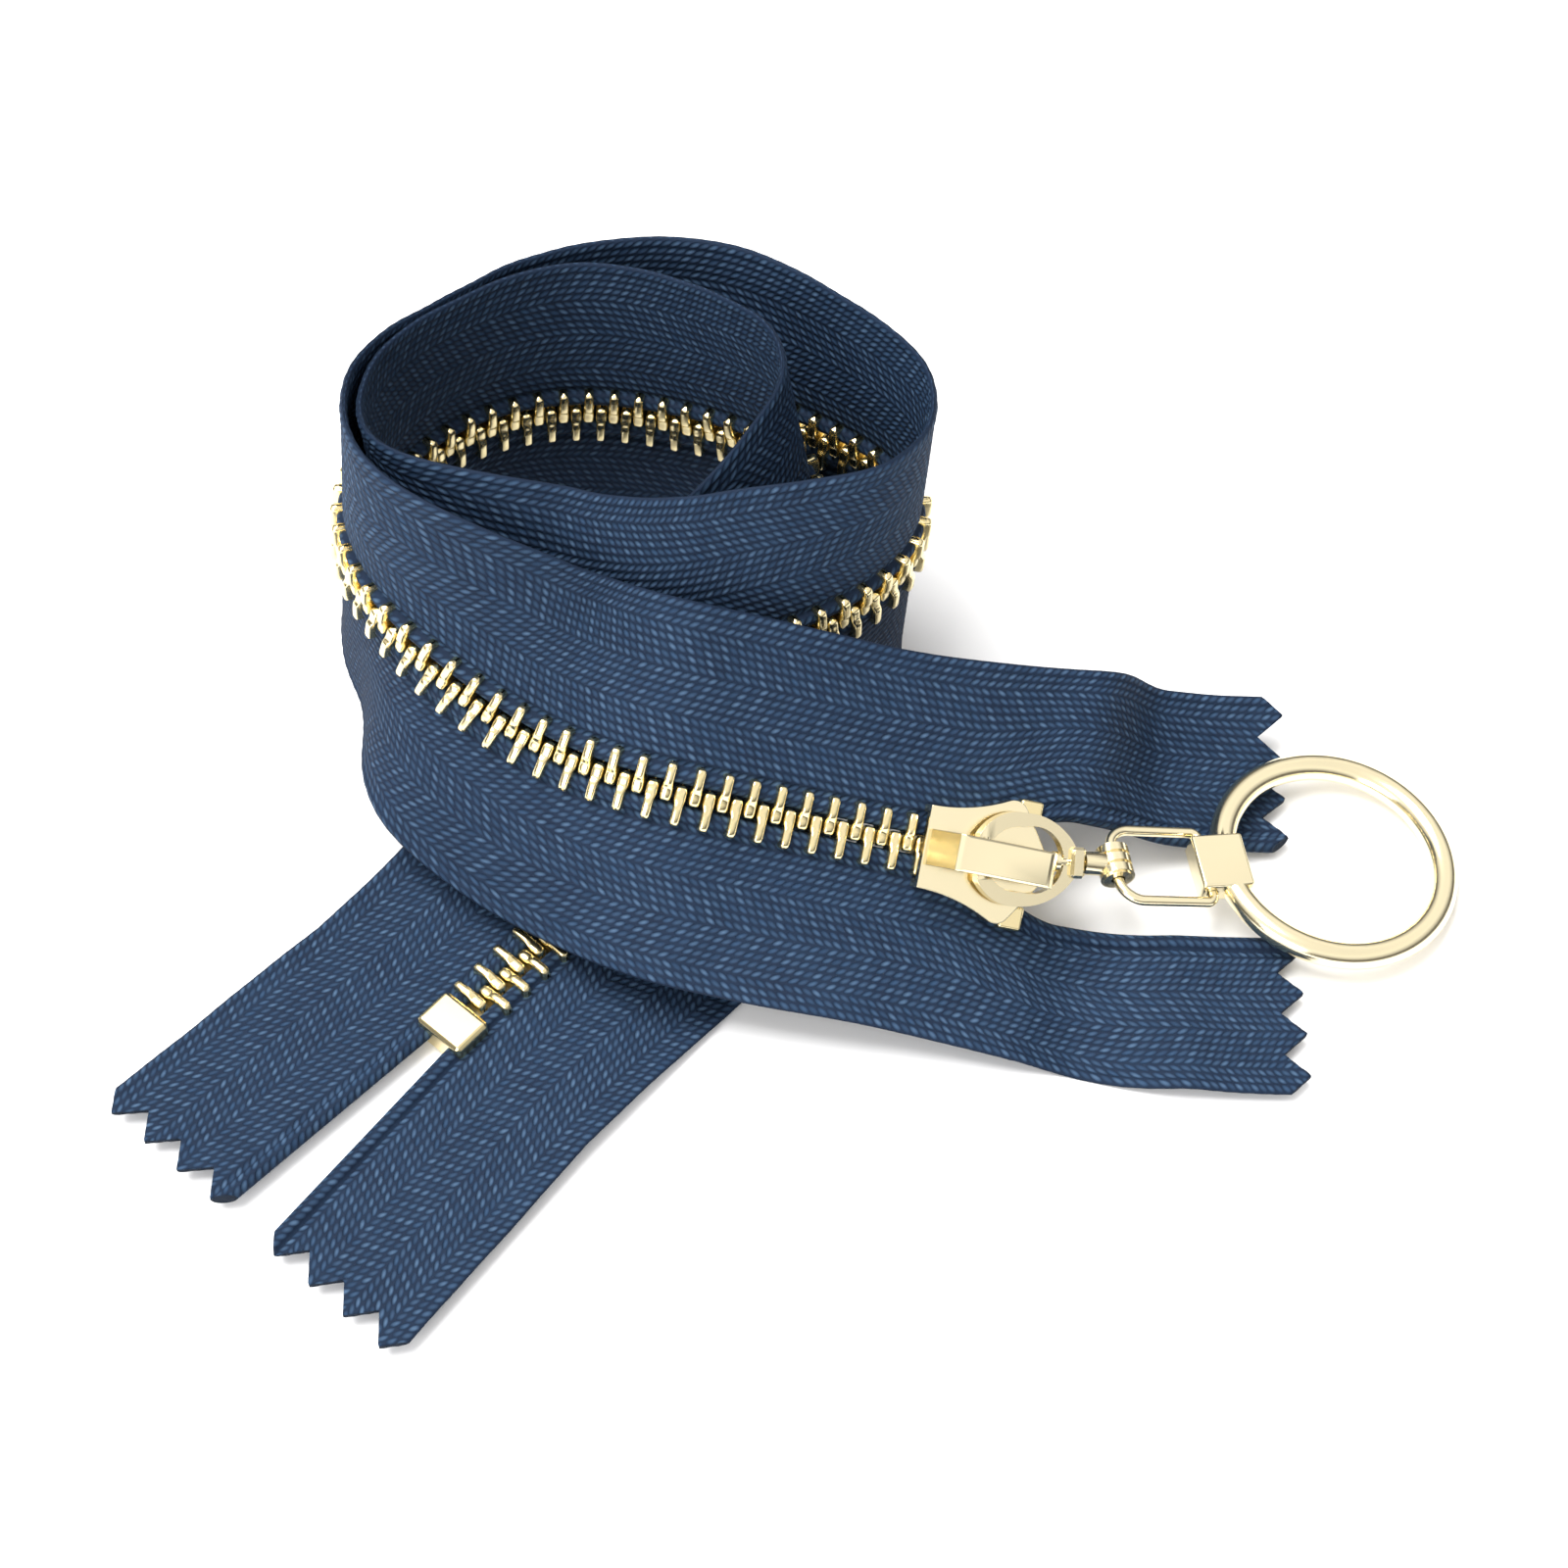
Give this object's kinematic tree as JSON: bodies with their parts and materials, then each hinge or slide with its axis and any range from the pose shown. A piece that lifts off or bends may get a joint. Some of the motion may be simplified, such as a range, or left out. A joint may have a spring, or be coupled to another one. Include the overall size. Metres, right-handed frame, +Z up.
{
  "type": "zipper",
  "caption": "Navy twill zipper coiled on edge, with bright brass teeth and a lock slider that carries a swivel and a finger-ring puller.",
  "frame": {"origin": "middle of the underside of the zipper's box, on the table", "axes": "+X along the front strip towards the ring puller, +Y to the back of the coil, +Z up"},
  "size_m": [0.1115, 0.0892, 0.0365],
  "materials": {
    "tape": "woven twill",
    "brass": "polished",
    "gilt": "polished",
    "spring": "satin"
  },
  "bodies": {
    "chain": {"left_tape": "tape", "right_tape": "tape", "left_teeth_tail": "brass", "left_teeth_inner_turn": "brass", "left_teeth_outer_turn": "brass", "left_teeth_front": "brass", "left_teeth_slider": "brass", "right_teeth_tail": "brass", "right_teeth_inner_turn": "brass", "right_teeth_outer_turn": "brass", "right_teeth_front": "brass", "right_teeth_slider": "brass", "bottom_stop": "brass", "left_top_stop": "brass", "right_top_stop": "brass"},
    "slider": {"slider_body": "gilt", "slider_bridge": "gilt", "lock_spring": "spring"},
    "pawl": {"lock_pawl": "gilt"},
    "loop": {"puller_loop": "gilt"},
    "swivel": {"swivel_knuckle": "gilt"},
    "link": {"d_link": "gilt"},
    "ring": {"ring_puller": "gilt"}
  },
  "joints": [
    {"name": "slider_slide", "type": "slide", "parent": "chain", "child": "slider", "axis": [-0.9455, 0.0108, 0.3256], "range_m": [0, 0.006], "deforming": ["left_teeth_slider", "right_teeth_slider", "left_teeth_front", "right_teeth_front", "left_tape", "right_tape"]},
    {"name": "pawl_lift", "type": "hinge", "parent": "slider", "child": "pawl", "pos_m": [0.01818, -0.00625, 0.00996], "axis": [0.1915, 0.8269, 0.5287], "range_deg": [0, 6], "stiffness_Nm_per_rad": 0.002, "springref_deg": -5.73, "deforming": ["lock_spring", "left_teeth_slider", "right_teeth_slider"]},
    {"name": "loop_hinge", "type": "hinge", "parent": "slider", "child": "loop", "pos_m": [0.01434, -0.00567, 0.01045], "axis": [-0.0664, -0.8212, -0.5667], "range_deg": [0, 100], "deforming": ["left_tape", "right_tape"]},
    {"name": "swivel_turn", "type": "hinge", "parent": "loop", "child": "swivel", "pos_m": [0.01434, -0.00567, 0.01045], "axis": [0.9357, 0.1459, -0.3211], "range_deg": [-12, 12], "deforming": ["left_tape", "right_tape"]},
    {"name": "link_hinge", "type": "hinge", "parent": "swivel", "child": "link", "pos_m": [0.02557, -0.00392, 0.0066], "axis": [0.1541, -0.9881, 0], "range_deg": [0, 80]},
    {"name": "ring_hinge", "type": "hinge", "parent": "link", "child": "ring", "pos_m": [0.03352, -0.00268, 0.0042], "axis": [0.1541, -0.9881, 0], "range_deg": [0, 80]}
  ]
}
